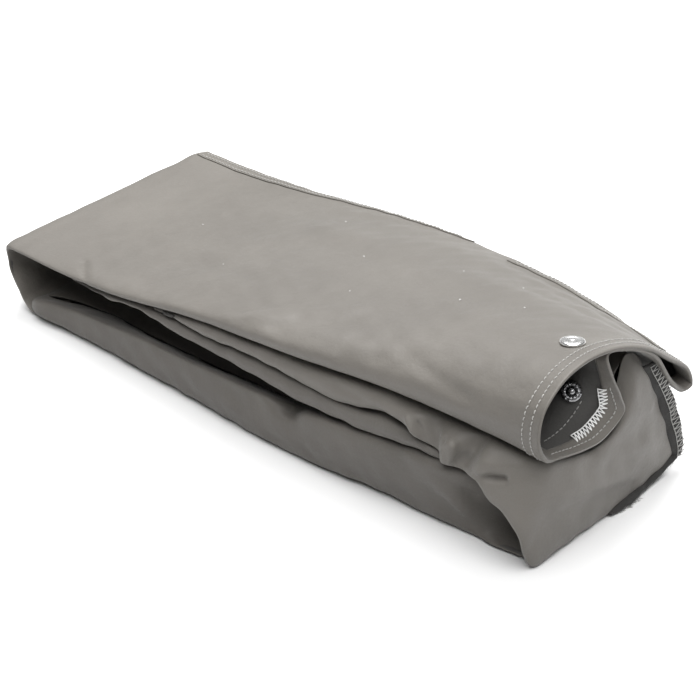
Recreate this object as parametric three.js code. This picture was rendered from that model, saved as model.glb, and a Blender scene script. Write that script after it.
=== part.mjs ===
// A soft bag in coated cloth, folded once across its middle into a wedge-shaped bundle.
// The closed end of the bag lies underneath. The mouth end is folded back on top of it, and
// its open mouth, with a turned hem and a press stud, faces +X. Millimetres, +Z up.
// The origin is the centre of the bundle's footprint, on the surface it lies on.

import * as THREE from "three";

// ---------------------------------------------------------------- driving dimensions

const LENGTH = 454.7; // left-hand fold to the mouth's rim
const CLOTH = 2; // thickness of one ply of coated cloth with its lining
const LINED = 2.4; // thickness where the wall carries a doubled seam
const HALF_WIDTH = 92.8; // centre line of the outermost ply, from the middle of the bag
const BASE_LEFT = 16; // where the base meets the fold
const BASE_RIGHT = 443; // where the base meets the end panel
const STUD_X = 431.4; // both halves of the press stud sit one behind the other here
const STUD_Y = -29.4;
const CAP_RADIUS = 7.5; // a line 24 press stud
const THREAD_RADIUS = 0.45;
const STITCH = 3.2; // length of one straight stitch with its gap
const GAP = 0.4; // left between a fitting or a seam and the ply it is fixed to

// ---------------------------------------------------------------- materials

const outerCloth = finish(0x8b8782, 0.68, 0);
const pleatCloth = finish(0x6d6963, 0.72, 0);
const liningCloth = finish(0x5b5854, 0.78, 0);
const hemCloth = finish(0x96938f, 0.7, 0);
const sergedEdge = finish(0x3c3b3a, 0.9, 0);
const paleThread = finish(0xbdbab5, 0.85, 0);
const whiteThread = finish(0xf0efec, 0.85, 0);
const studMetal = finish(0xc9cacb, 0.25, 1);

function finish(color, roughness, metalness) {
  return new THREE.MeshStandardMaterial({ color, roughness, metalness });
}

// ---------------------------------------------------------------- ways of making a piece

const bag = new THREE.Group();
bag.position.x = -LENGTH / 2; // the pieces below measure x from the left-hand fold

function add(name, geometry, material) {
  const mesh = new THREE.Mesh(geometry, material);
  mesh.name = name;
  bag.add(mesh);
  return mesh;
}

// Cross-sections of the bag, each a row of [y, z] points at one distance x from the fold.
function crossSections(rows) {
  return rows.map(([x, ...points]) => points.map(([y, z]) => new THREE.Vector3(x, y, z)));
}

// A ply of cloth. Each rail is a row of points across the ply, and the rails follow each
// other along it. The smooth surface through them is the middle of the ply's thickness.
function ply(rails, thickness, along, across) {
  const grid = surfaceGrid(rails, along, across);
  const positions = [];
  for (const side of [0.5, -0.5]) {
    for (let i = 0; i <= along; i++) {
      for (let j = 0; j <= across; j++) {
        const point = grid[i][j].clone();
        point.addScaledVector(gridNormal(grid, i, j), side * thickness);
        positions.push(point.x, point.y, point.z);
      }
    }
  }
  const geometry = new THREE.BufferGeometry();
  geometry.setAttribute("position", new THREE.Float32BufferAttribute(positions, 3));
  geometry.setIndex(slabFaces(along, across));
  geometry.computeVertexNormals();
  return geometry;
}

function surfaceGrid(rails, along, across) {
  const rows = rails.map((rail) => new THREE.CatmullRomCurve3(rail).getPoints(across));
  const grid = [];
  for (let i = 0; i <= along; i++) grid.push([]);
  for (let j = 0; j <= across; j++) {
    const curve = new THREE.CatmullRomCurve3(rows.map((row) => row[j]), false, "centripetal");
    for (let i = 0; i <= along; i++) grid[i].push(curve.getPoint(i / along));
  }
  return grid;
}

function gridNormal(grid, i, j) {
  const last = grid.length - 1;
  const end = grid[0].length - 1;
  const alongStep = new THREE.Vector3().subVectors(
    grid[Math.min(i + 1, last)][j],
    grid[Math.max(i - 1, 0)][j],
  );
  const acrossStep = new THREE.Vector3().subVectors(
    grid[i][Math.min(j + 1, end)],
    grid[i][Math.max(j - 1, 0)],
  );
  return new THREE.Vector3().crossVectors(alongStep, acrossStep).normalize();
}

// The faces of a closed slab: an upper sheet, a lower sheet and the rim that joins them.
function slabFaces(along, across) {
  const row = across + 1;
  const lower = (along + 1) * row;
  const faces = [];
  const quad = (a, b, c, d) => faces.push(a, b, c, a, c, d);
  for (let i = 0; i < along; i++) {
    for (let j = 0; j < across; j++) {
      const a = i * row + j;
      quad(a, a + row, a + row + 1, a + 1);
      quad(lower + a, lower + a + 1, lower + a + row + 1, lower + a + row);
    }
  }
  for (let i = 0; i < along; i++) {
    const a = i * row;
    const b = a + across;
    quad(a, lower + a, lower + a + row, a + row);
    quad(b, b + row, lower + b + row, lower + b);
  }
  for (let j = 0; j < across; j++) {
    const a = j;
    const b = along * row + j;
    quad(a, a + 1, lower + a + 1, lower + a);
    quad(b, lower + b, lower + b + 1, b + 1);
  }
  return faces;
}

// A row of machine stitching, as the one thread that rises over the cloth and dips again.
function stitching(points, outward) {
  const line = new THREE.CatmullRomCurve3(points.map((p) => new THREE.Vector3(...p)));
  const count = Math.max(6, Math.round(line.getLength() / (STITCH * 4)) * 2);
  const wave = line.getSpacedPoints(count).map((point, i) => {
    return point.addScaledVector(outward, THREAD_RADIUS * (i % 2));
  });
  return thread(new THREE.CatmullRomCurve3(wave), count, THREAD_RADIUS);
}

function thread(path, steps, radius) {
  const section = new THREE.Shape();
  const sides = 5;
  for (let i = 0; i < sides; i++) {
    const angle = (i / sides) * Math.PI * 2;
    const x = Math.cos(angle) * radius;
    const y = Math.sin(angle) * radius;
    if (i === 0) section.moveTo(x, y);
    else section.lineTo(x, y);
  }
  section.closePath();
  return new THREE.ExtrudeGeometry(section, { steps, extrudePath: path });
}

// The zigzag of an overlocked edge, as a flat ribbon that runs along X and swings in Y.
function zigzag(length, width, teeth) {
  const pitch = length / teeth;
  const ribbon = pitch * 0.6;
  const shape = new THREE.Shape();
  shape.moveTo(0, 0);
  for (let i = 1; i <= teeth; i++) shape.lineTo(i * pitch, (i % 2) * width);
  for (let i = teeth; i >= 0; i--) shape.lineTo(i * pitch, (i % 2) * width + ribbon);
  shape.closePath();
  return new THREE.ExtrudeGeometry(shape, { depth: 0.6, bevelEnabled: false });
}

// ---------------------------------------------------------------- the closed end, underneath

function basePanel() {
  const outline = new THREE.Shape();
  outline.moveTo(BASE_LEFT, -90);
  outline.lineTo(275, -90);
  outline.quadraticCurveTo(330, -88, 390, -74);
  outline.lineTo(BASE_RIGHT, -71);
  outline.lineTo(BASE_RIGHT, 54);
  outline.quadraticCurveTo(400, 72, 330, 82);
  outline.quadraticCurveTo(270, 89, 190, 89);
  outline.lineTo(BASE_LEFT, 88);
  outline.closePath();
  return new THREE.ExtrudeGeometry(outline, { depth: LINED, bevelEnabled: false, curveSegments: 6 });
}

const frontWall = crossSections([
  [24, [-89, 4.2], [-92.4, 7], [-92.8, 10.4], [-90, 13.4], [-79, 14]],
  [110, [-89, 4.2], [-92.8, 11], [-92.8, 20], [-90, 26.4], [-77, 27.4]],
  [190, [-89, 4.2], [-92.8, 12], [-92.8, 25], [-89.6, 32.4], [-76, 33.6]],
  [270, [-89, 4.2], [-92.8, 14], [-92.8, 30], [-89, 38.4], [-75, 40]],
  [350, [-80, 4.2], [-85, 16], [-88, 34], [-85, 44], [-70, 45]],
  [400, [-71, 4.2], [-75, 14], [-79, 30], [-77, 38], [-64, 40]],
  [436, [-69, 4.2], [-71, 10], [-73, 18], [-71, 24], [-62, 26]],
]);

const lowerPleat = crossSections([
  [90, [-72, 36.4], [-88, 37], [-91.5, 39.5], [-88, 42], [-72, 42.6]],
  [190, [-70, 44.8], [-88, 45.5], [-92, 49.8], [-88, 53.6], [-70, 54]],
  [273, [-68, 49.8], [-87, 50.2], [-91.5, 54.5], [-87, 58.6], [-68, 59.2]],
  [350, [-64, 49.8], [-84, 50.2], [-88, 55.5], [-84, 60.6], [-64, 61.2]],
  [400, [-58, 44.2], [-74, 44.5], [-78, 47.5], [-74, 50.5], [-58, 51]],
]);

const upperPleat = crossSections([
  [175, [-79, 56.6], [-87, 56.8], [-90.5, 57.9], [-87, 59], [-79, 59]],
  [190, [-78, 58.2], [-88, 58.4], [-92, 59.8], [-88, 61], [-78, 60.8]],
  [273, [-68, 62.2], [-87, 62.6], [-91.5, 65.2], [-87, 67.8], [-68, 67.6]],
  [340, [-66, 65.2], [-84, 65.6], [-87, 69.2], [-84, 72.6], [-66, 71.4]],
  [385, [-64, 61.6], [-82, 60.6], [-85.5, 65.6], [-82, 70.4], [-64, 70]],
  [402, [-64, 59.6], [-82, 58.2], [-86, 64.4], [-83, 69.6], [-64, 69.2]],
]);

const lowerTop = crossSections([
  [30, [-80, 19.6], [-40, 20], [0, 20.4], [40, 20.4], [84, 20]],
  [110, [-67, 36.4], [-30, 37], [0, 37.4], [40, 37.4], [82, 36.4]],
  [190, [-66, 57.6], [-30, 57.8], [0, 57.8], [40, 56.8], [76, 53]],
  [273, [-63, 65.4], [-30, 63.4], [0, 65.2], [36, 70.8], [62, 69.2]],
  [350, [-58, 68.4], [-30, 66.4], [0, 71.2], [24, 83.4], [44, 81.6]],
  [440, [-58, 67], [-26, 59], [-4, 67], [6, 87], [15, 94]],
]);

const lowerBack = crossSections([
  [30, [87.6, 19], [91.6, 15.6], [92.8, 11.6], [92, 7.6], [89, 4.2]],
  [110, [85.5, 35.4], [91, 30], [92.8, 21.6], [92.6, 12], [90, 4.2]],
  [190, [80, 51], [88, 43], [92, 32], [92.6, 17], [90, 4.2]],
  [273, [66.5, 67.6], [77, 57], [84, 40], [88, 20], [88, 4.2]],
  [350, [48.5, 79.6], [60, 65], [70, 44], [78, 22], [80, 4.2]],
  [440, [20, 93], [30, 77], [40, 54], [49, 30], [55, 8]],
]);

// The end panel starts at a free edge, bulges across the end and stops at the seam.
const endPanel = [
  [[446, -75, 4], [445, -82, 13], [443, -86, 29], [430, -88, 43], [411, -88, 56]],
  [[446, -66, 3.2], [447, -72, 20], [446, -78, 40], [437, -84, 56], [416, -87, 71]],
  [[446, -50, 3.2], [448, -55, 22], [448, -60, 44], [447, -66, 60], [444, -71, 71.5]],
  [[446, -25, 3.2], [448.6, -25, 20], [449, -25, 36], [448, -25, 50], [446, -25, 62]],
  [[446, 0, 3.2], [448.6, 2, 22], [448.6, 2, 42], [447.6, 0, 58], [446, -4, 71]],
  [[446, 30, 5], [448, 30, 28], [448, 24, 52], [447, 16, 74], [446, 9, 92]],
  [[446, 56, 9], [446.4, 47, 34], [446, 36, 59], [446, 28, 76], [446, 20.5, 91.5]],
];

// Serged seam allowances stand away from the end panel's back edge and its lower edge.
const endAllowance = [
  [[446.6, 22.6, 90], [447.8, 28.4, 90.6]],
  [[446.8, 30, 76.6], [448, 35.4, 77.6]],
  [[447, 39, 58.6], [448.2, 44.4, 60]],
  [[447, 50, 34], [448.2, 55.8, 35.4]],
  [[447, 58.6, 11.4], [448.2, 64.4, 12.6]],
];
const baseAllowance = [
  [[449, 6, 5.4], [453, 7, 2.6]],
  [[449.8, 30, 6.4], [453.6, 31, 3]],
  [[449.4, 54, 8], [452.6, 57, 4.8]],
];

function rails(rows) {
  return rows.map((row) => row.map((point) => new THREE.Vector3(...point)));
}

function closedEnd() {
  add("base_panel", basePanel(), outerCloth);
  add("front_wall", ply(frontWall, LINED, 14, 8), outerCloth);
  add("lower_pleat", ply(lowerPleat, CLOTH, 12, 8), pleatCloth);
  add("upper_pleat", ply(upperPleat, CLOTH, 12, 8), pleatCloth);
  add("lower_top", ply(lowerTop, LINED, 12, 8), liningCloth);
  add("lower_back", ply(lowerBack, LINED, 12, 6), outerCloth);
  add("end_panel", ply(rails(endPanel), LINED, 12, 8), outerCloth);
  add("end_seam_allowance", ply(rails(endAllowance), LINED, 10, 1), sergedEdge);
  add("base_seam_allowance", ply(rails(baseAllowance), CLOTH, 6, 1), sergedEdge);
  const serging = add("end_seam_overlock", zigzag(86, 4.4, 42), paleThread);
  const top = new THREE.Vector3(449.4, 23.6, 89.4);
  const foot = new THREE.Vector3(449.8, 60, 13);
  serging.position.copy(top);
  serging.quaternion.copy(turnTo(foot.clone().sub(top), new THREE.Vector3(0, 1, 0.4)));
}

// The turn that lays a piece's X axis along one direction, with its Y axis near another.
function turnTo(along, side) {
  const x = along.clone().normalize();
  const y = side.clone().addScaledVector(x, -side.dot(x)).normalize();
  const z = new THREE.Vector3().crossVectors(x, y);
  return new THREE.Quaternion().setFromRotationMatrix(new THREE.Matrix4().makeBasis(x, y, z));
}

// ---------------------------------------------------------------- the fold at the left

const FOLD_ENDS = [-91, -45, 0, 45, 91];
const outerFold = [[12.4, 3], [6, 7], [2.4, 17], [1.6, 31], [1.6, 44.6]];
const innerFold = [[14, 9.4], [9.6, 13], [7, 21], [6.4, 30], [6.4, 40]];

function foldRails(profile) {
  return FOLD_ENDS.map((y) => profile.map(([x, z]) => new THREE.Vector3(x, y, z)));
}

function fold() {
  add("fold_outer_ply", ply(foldRails(outerFold), LINED, 6, 8), outerCloth);
  add("fold_inner_ply", ply(foldRails(innerFold), CLOTH, 6, 6), liningCloth);
}

// ---------------------------------------------------------------- the mouth end, on top

const sleeveFloor = crossSections([
  [10, [-84, 42.6], [-45, 42.6], [0, 42.6], [45, 42.6], [84, 42.6]],
  [100, [-84, 48], [-45, 47], [0, 46], [45, 46], [84, 47]],
  [190, [-84, 66.8], [-50, 64.4], [-10, 64], [35, 63.5], [79, 61]],
  [240, [-83, 71.8], [-57, 69], [-30, 68.6], [0, 69.4], [34, 72.4]],
  [300, [-81, 77.2], [-59, 73], [-37, 71.6], [-15, 73.6], [5, 77.4]],
  [360, [-79, 80.6], [-62, 76.4], [-44, 75.4], [-26, 77.4], [-9, 82]],
  [430, [-76, 80], [-63, 76], [-52, 77], [-42, 81.4], [-33, 87.6]],
  [448, [-75.5, 78], [-60, 72], [-42, 68.6], [-24, 67.6], [-8, 75]],
]);

// A ridge pushed up by the closed end underneath, and the floor of the narrow rear lobe.
const sleeveRidge = crossSections([
  [204, [75, 64.6], [76, 64.8], [77, 64.9], [78, 65]],
  [250, [32, 74], [38, 74.8], [44, 75.4], [51, 75.4]],
  [300, [8, 80], [11, 83], [15, 85.4], [23, 87]],
  [360, [-5, 84.6], [-1, 89], [3, 93], [10, 97.4]],
  [430, [-29.6, 90], [-21, 98], [-17.4, 108], [-17, 114]],
  [448, [-4.6, 79], [-9.6, 93], [-15, 106], [-17.6, 116]],
]);
const sleeveBackFloor = crossSections([
  [204, [79.4, 65], [80.4, 64.9], [81.4, 64.6], [82.4, 64.2], [83.4, 63.6]],
  [250, [52.4, 75.4], [59, 75], [66, 74], [73, 72.2], [79, 70], [84, 67.4]],
  [300, [24.4, 87], [34, 87.4], [46, 86], [58, 82.6], [70, 77], [79.6, 71]],
  [360, [11.4, 97.6], [20, 97.6], [34, 94], [48, 88], [60, 80.6], [71, 72]],
  [430, [-15, 115], [-4, 113.6], [14, 107.4], [28, 96.4], [45, 76], [58, 63.4]],
  [448, [-15.4, 117.6], [-5, 116], [13, 108.4], [26, 97.6], [44, 71.8], [58, 60]],
]);

const frontRoll = crossSections([
  [10, [-87, 42.6], [-91, 43.4], [-92.6, 45], [-91, 46.6], [-87, 47.2]],
  [57, [-87, 46], [-91, 47], [-92.8, 49], [-91, 50.5], [-87, 51]],
  [100, [-87, 48.2], [-91, 49.5], [-92.8, 52], [-91, 54.5], [-87, 55.2]],
  [190, [-87.5, 66.9], [-91.5, 67.8], [-92.8, 70], [-91.5, 73], [-87, 74]],
  [273, [-86, 74.8], [-91, 76], [-92.8, 80], [-91, 84], [-85, 87]],
  [340, [-83, 79.9], [-87, 83], [-88.5, 88], [-86, 95], [-79.4, 99]],
  [400, [-80, 81], [-84, 85], [-86, 92], [-83, 104], [-76, 110.4]],
  [448, [-78.4, 79], [-82, 86], [-82.5, 95], [-80, 112], [-73, 121]],
]);

const backRoll = crossSections([
  [10, [87, 42.6], [91, 43.4], [92.6, 45], [91, 46.6], [87, 47.2]],
  [100, [87, 47], [91, 48], [92.8, 50.5], [91, 53], [87, 54.5]],
  [204, [86.4, 62], [90, 61.4], [92.4, 63.4], [90.6, 67], [86.6, 69.6]],
  [250, [87.4, 66], [90.4, 65.5], [91.6, 68], [90, 71], [86, 73.5]],
  [300, [83, 69.5], [86, 69], [87.5, 71], [86, 74], [81, 77.5]],
  [360, [74.4, 70.5], [78, 68], [81, 69], [80.5, 72], [76.4, 77]],
  [430, [61.4, 61.6], [64.6, 60], [67.6, 62], [67.4, 67], [64.2, 72]],
  [448, [61.2, 58], [64, 57], [66.8, 59], [66.5, 64], [63.5, 70]],
]);

const topWall = crossSections([
  [6, [-84, 47], [-45, 47], [0, 47], [45, 47], [84, 47]],
  [57, [-84, 51.2], [-45, 51], [0, 50.8], [45, 50.6], [84, 50]],
  [100, [-84, 55.6], [-45, 56], [0, 56], [45, 55.8], [84, 54.7]],
  [190, [-84, 74.6], [-45, 76.5], [0, 77], [45, 75.8], [83, 69.4]],
  [257, [-82.5, 86], [-45, 90], [0, 90.5], [45, 87], [82.6, 75]],
]);

const topWallBack = crossSections([
  [259, [-16.4, 91], [15, 90], [40, 87.5], [62, 82.4], [82, 75]],
  [300, [-16.4, 98.5], [10, 97.5], [36, 93.6], [58, 87], [77, 78.5]],
  [360, [-16.4, 109], [8, 107.4], [32, 102], [54, 91], [73, 78.5]],
  [430, [-16.4, 121], [4, 117.4], [24, 107.4], [44, 92], [61, 74.6]],
  [448, [-16.4, 124.4], [3, 118.6], [22, 107.6], [42, 91], [60.5, 73]],
]);

const BEND_LINE = 259.6; // the mouth's flap bends down from here
const mouthFlap = crossSections([
  [BEND_LINE, [-81, 86.6], [-66, 89], [-50, 90.2], [-34, 90.8], [-18, 91]],
  [340, [-75.5, 100.6], [-62, 103.8], [-48, 105.4], [-33, 106], [-18, 105.4]],
  [400, [-72.6, 112], [-60, 117], [-47, 119.4], [-33, 119.2], [-18, 116.6]],
  [449, [-69.4, 123], [-60, 127.4], [-47, 129.3], [-33, 128.8], [-18, 125.6]],
]);

const sideAllowance = [
  [[12, 86.6, 51], [12, 92.6, 52]],
  [[60, 87, 53.6], [60, 93, 54.4]],
  [[110, 87, 59.4], [110, 93, 59.6]],
  [[170, 86.8, 69.4], [170, 92.2, 68.4]],
  [[230, 85.4, 76.4], [230, 90, 74.6]],
];

function sleeve() {
  add("sleeve_floor", ply(sleeveFloor, CLOTH, 16, 8), liningCloth);
  add("sleeve_ridge", ply(sleeveRidge, CLOTH, 14, 4), liningCloth);
  add("sleeve_back_floor", ply(sleeveBackFloor, CLOTH, 14, 8), liningCloth);
  add("front_roll", ply(frontRoll, CLOTH, 16, 6), outerCloth);
  add("back_roll", ply(backRoll, CLOTH, 14, 6), outerCloth);
  add("top_wall", ply(topWall, CLOTH, 10, 8), outerCloth);
  add("top_wall_back", ply(topWallBack, CLOTH, 10, 6), outerCloth);
  add("side_seam_allowance", ply(rails(sideAllowance), CLOTH, 8, 1), sergedEdge);
}

// ---------------------------------------------------------------- the mouth's hems and stud

// A hem is a second ply along the rim, lying on the inside of the wall it finishes.
const HEM = 11;
const RIM = 448;
const lowerHem = [
  [[RIM - HEM, -66, 80.6], [RIM - HEM, -58, 78.8], [RIM - HEM, -50, 79.2], [RIM - HEM, -42, 82.4]],
  [[RIM - 4, -67, 79.2], [RIM - 4, -57, 76.4], [RIM - 4, -46, 75.6], [RIM - 4, -34, 77.6]],
  [[RIM, -68, 78.6], [RIM, -56, 75], [RIM, -42, 72.6], [RIM, -28, 72.4]],
];
const upperHem = [
  [[RIM - HEM, -66, 118.6], [RIM - HEM, -52, 122.4], [RIM - HEM, -38, 122.8], [RIM - HEM, -24, 120.4]],
  [[RIM, -63, 122.6], [RIM, -52, 126], [RIM, -38, 126.4], [RIM, -24, 124]],
];

// The lines that the stitching follows: across the mouth flap at the rim, and inside the lip.
const FLAP_SLOPE = 0.24;
const flapRow = [[-68, 123.9], [-58, 128.2], [-47, 129.2], [-33, 128.8], [-20, 125.9]];
const floorRow = [[443, -65, 80.4], [443, -56, 78.2], [443, -47, 77.8], [442.6, -40, 79.8]];

// Lathe profiles turn about the stud's own axis, which three.js stands along Y.
function turned(profile) {
  const points = profile.map(([radius, height]) => new THREE.Vector2(radius, height));
  const geometry = new THREE.LatheGeometry(points, 20);
  geometry.rotateX(Math.PI / 2);
  return geometry;
}

const capProfile = [
  [0, 0],
  [CAP_RADIUS - 0.5, 0],
  [CAP_RADIUS, 0.5],
  [CAP_RADIUS - 0.1, 1.1],
  [CAP_RADIUS * 0.8, 1.7],
  [CAP_RADIUS * 0.4, 2],
  [0, 2.1],
];
const socketProfile = [
  [2.6, -3],
  [5.2, -3],
  [6, -2.2],
  [6, 0],
  [2.6, 0],
  [2.6, -3],
];
const prongRingProfile = [
  [3, 0],
  [5.6, 0],
  [6, 0.6],
  [5.4, 1.2],
  [3, 1.2],
  [3, 0],
];
const studProfile = [
  [0, 0],
  [2.6, 0],
  [2.6, 1.2],
  [1.9, 1.8],
  [2.2, 3],
  [1.7, 3.6],
  [0, 3.7],
];

function place(mesh, x, y, z, tiltX, tiltY) {
  mesh.position.set(x, y, z);
  mesh.rotation.set(tiltX, tiltY, 0);
}

function mouth() {
  add("mouth_flap", ply(mouthFlap, CLOTH, 10, 8), outerCloth);
  add("upper_lip_hem", ply(rails(upperHem), CLOTH, 3, 8), hemCloth);
  add("lower_lip_hem", ply(rails(lowerHem), CLOTH, 4, 8), hemCloth);
  const up = new THREE.Vector3(0, 0, 1);
  const onTop = CLOTH / 2 + THREAD_RADIUS * 2 + GAP;
  for (const [name, x] of [["rim_stitching", 445], ["hem_stitching", 438.4]]) {
    const line = flapRow.map(([y, z]) => [x, y, z + onTop - (RIM - x) * FLAP_SLOPE]);
    add(name, stitching(line, up), paleThread);
  }
  add("lower_lip_stitching", stitching(floorRow, up), paleThread);

  const overlock = add("lower_lip_overlock", zigzag(24, 3, 16), whiteThread);
  overlock.position.set(436, -64, 82.6);
  overlock.quaternion.copy(
    turnTo(new THREE.Vector3(0, 1, 0.06), new THREE.Vector3(-1, 0, 0)),
  );

  const capTilt = [0.1, -0.16];
  place(add("snap_cap", turned(capProfile), studMetal), 430, -29, 127.6, ...capTilt);
  place(add("snap_socket", turned(socketProfile), studMetal), 430, -29, 121.4, ...capTilt);
  const studTilt = [0.5, 0];
  place(add("snap_prong_ring", turned(prongRingProfile), studMetal), STUD_X, STUD_Y, 94.6, ...studTilt);
  place(add("snap_stud", turned(studProfile), studMetal), STUD_X, STUD_Y, 94.6, ...studTilt);
}

closedEnd();
fold();
sleeve();
mouth();

export default bag;
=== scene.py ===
import math

import bpy
import numpy as np
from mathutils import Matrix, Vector
from mathutils.bvhtree import BVHTree


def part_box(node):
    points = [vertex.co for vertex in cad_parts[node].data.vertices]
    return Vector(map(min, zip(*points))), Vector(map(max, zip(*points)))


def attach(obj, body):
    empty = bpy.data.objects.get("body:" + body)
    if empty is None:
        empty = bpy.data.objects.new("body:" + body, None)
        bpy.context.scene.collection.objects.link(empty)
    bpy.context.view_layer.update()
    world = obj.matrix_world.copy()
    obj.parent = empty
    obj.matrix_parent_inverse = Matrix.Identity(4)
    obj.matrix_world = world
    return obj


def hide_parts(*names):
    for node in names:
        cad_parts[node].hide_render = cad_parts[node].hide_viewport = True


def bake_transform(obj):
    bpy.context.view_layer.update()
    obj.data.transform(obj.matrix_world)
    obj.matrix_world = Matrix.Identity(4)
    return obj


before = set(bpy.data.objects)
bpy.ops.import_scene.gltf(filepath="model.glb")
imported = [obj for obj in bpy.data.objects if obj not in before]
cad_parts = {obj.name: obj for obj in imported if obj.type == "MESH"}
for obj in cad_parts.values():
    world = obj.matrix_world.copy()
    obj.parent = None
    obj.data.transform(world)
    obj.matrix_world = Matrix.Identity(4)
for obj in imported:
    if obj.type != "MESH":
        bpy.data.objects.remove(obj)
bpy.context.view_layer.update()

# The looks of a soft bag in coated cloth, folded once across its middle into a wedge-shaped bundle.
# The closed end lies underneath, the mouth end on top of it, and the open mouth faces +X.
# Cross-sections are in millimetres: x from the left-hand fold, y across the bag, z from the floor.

MM = 0.001
FOLD_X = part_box("fold_outer_ply")[0].x - 0.4 * MM  # where the sections' x is zero
CLOTH = 1.5  # thickness of a ply of coated cloth, with its lining
HEM = 3.0  # thickness where the cloth is turned under at the mouth
HEM_WIDTH = 11.5  # at the top of the mouth
LIP_WIDTH = 7.6  # at the lower lip
RIM = 450.0  # x of the mouth's rim
SLEEVE_START = 40  # x where the fold gives way to the mouth end
STITCH = (3.3, 2.5)  # from one stitch to the next, and the length of one
THREAD, FINE_THREAD = 0.34, 0.32  # radii of the sewing thread
TAPE = 0.9  # thickness of the tapes sewn over the seams
CAP_AT = (430, -29)  # x and y of the press stud's cap
PULL = 7  # how far the foot of the fold is drawn in at the front
BULGE = 0.42  # how far a cut edge is rounded, as a share of the thickness

# ------------------------------------------------------------------ smooth surfaces


def hermite(knots, values, at):
    """Smooth values at the places `at`, through `values` at the unevenly spaced `knots`."""
    knots = np.asarray(knots, float)
    values = np.asarray(values, float)
    shape = (-1,) + (1,) * (values.ndim - 1)
    step = np.diff(knots).reshape(shape)
    slope = np.diff(values, axis=0) / step
    tangent = np.empty_like(values)
    tangent[0] = slope[0]
    tangent[-1] = slope[-1]
    if len(knots) > 2:
        tangent[1:-1] = (slope[:-1] * step[1:] + slope[1:] * step[:-1]) / (step[1:] + step[:-1])
    i = np.clip(np.searchsorted(knots, at, side="right") - 1, 0, len(knots) - 2)
    h = step[i]
    t = ((np.asarray(at) - knots[i]) / np.diff(knots)[i]).reshape(shape)
    t2, t3 = t * t, t * t * t
    return (
        (2 * t3 - 3 * t2 + 1) * values[i]
        + (t3 - 2 * t2 + t) * h * tangent[i]
        + (3 * t2 - 2 * t3) * values[i + 1]
        + (t3 - t2) * h * tangent[i + 1]
    )


def resample(points, between, closed=False):
    """A smooth curve through the points, with `between` steps from each point to the next."""
    points = np.asarray(points, float)
    first, last = 0, len(points) - 1
    if closed:
        first, last = 2, len(points) + 2
        points = np.vstack([points[-2:], points, points[:3]])
    gaps = np.sqrt(np.maximum(np.linalg.norm(np.diff(points, axis=0), axis=1), 1e-3))
    knots = np.concatenate([[0], np.cumsum(gaps)])
    steps = (last - first) * between
    at = np.interp(np.linspace(first, last, steps + 1), np.arange(len(points)), knots)
    return hermite(knots, points, at)


def gap_knots(rows):
    gaps = np.linalg.norm(np.diff(rows, axis=0), axis=2).mean(axis=1)
    return np.concatenate([[0], np.cumsum(gaps)])


def loft(rails, spacing, between, closed=False):
    """Points on the smooth surface through the rails, in rows about `spacing` mm apart."""
    rows = np.array([resample(rail, between, closed) for rail in rails])
    knots = gap_knots(rows)
    count = max(4, round(knots[-1] / spacing))
    return hermite(knots, rows, np.linspace(0, knots[-1], count + 1))


def sections(rows):
    """Rails from rows of [x, (y, z), (y, z), ...]."""
    return [[(x, y, z) for y, z in points] for x, *points in rows]


def unit(ways):
    return ways / np.maximum(np.linalg.norm(ways, axis=-1, keepdims=True), 1e-9)


def lengths(points):
    """How far along a path each of its points is."""
    return np.concatenate([[0], np.cumsum(np.linalg.norm(np.diff(points, axis=0), axis=1))])


def follow(t, s, values):
    """Rows of three values that are known at the distances s, read off at the distances t."""
    return np.array([np.interp(t, s, values[:, k]) for k in range(3)]).T


def grid_normals(grid, closed=False):
    along = np.gradient(grid, axis=0)
    if closed:
        wrapped = np.concatenate([grid[:, -2:-1], grid, grid[:, 1:2]], axis=1)
        across = np.gradient(wrapped, axis=1)[:, 1:-1]
    else:
        across = np.gradient(grid, axis=1)
    return unit(np.cross(along, across))


# ------------------------------------------------------------------ how cloth is creased


def smooth(t):
    t = np.clip(t, 0, 1)
    return t * t * (3 - 2 * t)


def waves(points, length, seed, count=10):
    """A smooth random field between about -1 and 1, whose features are about `length` mm long."""
    rng = np.random.default_rng(seed)
    total = np.zeros(points.shape[:-1])
    for _ in range(count):
        way = rng.normal(size=3)
        way /= np.linalg.norm(way)
        turn = 2 * math.pi / (length * rng.uniform(0.7, 1.5))
        total += np.sin(points @ way * turn + rng.uniform(0, 6.28))
    return total / math.sqrt(count)


def crease(points, start, end, width, height):
    """A soft ridge, or a furrow where height is negative, along the line from start to end."""
    start, end = np.array(start, float), np.array(end, float)
    line = end - start
    t = ((points - start) @ line) / (line @ line)
    off = np.linalg.norm(points - start - np.clip(t, 0, 1)[..., None] * line, axis=-1)
    return height * np.exp(-((off / width) ** 2)) * smooth(2.2 * (1.05 - np.abs(2 * t - 1)))


def dent(points, centre, radius, move):
    """Moves the points near the centre, most at the centre itself."""
    near = np.exp(-(np.linalg.norm((points - centre) / radius, axis=-1) ** 2))
    return points + near[..., None] * np.array(move, float)


# ------------------------------------------------------------------ meshes


def to_frame(points):
    points = np.array(points, float) * MM
    points[..., 0] += FOLD_X
    return points


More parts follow.
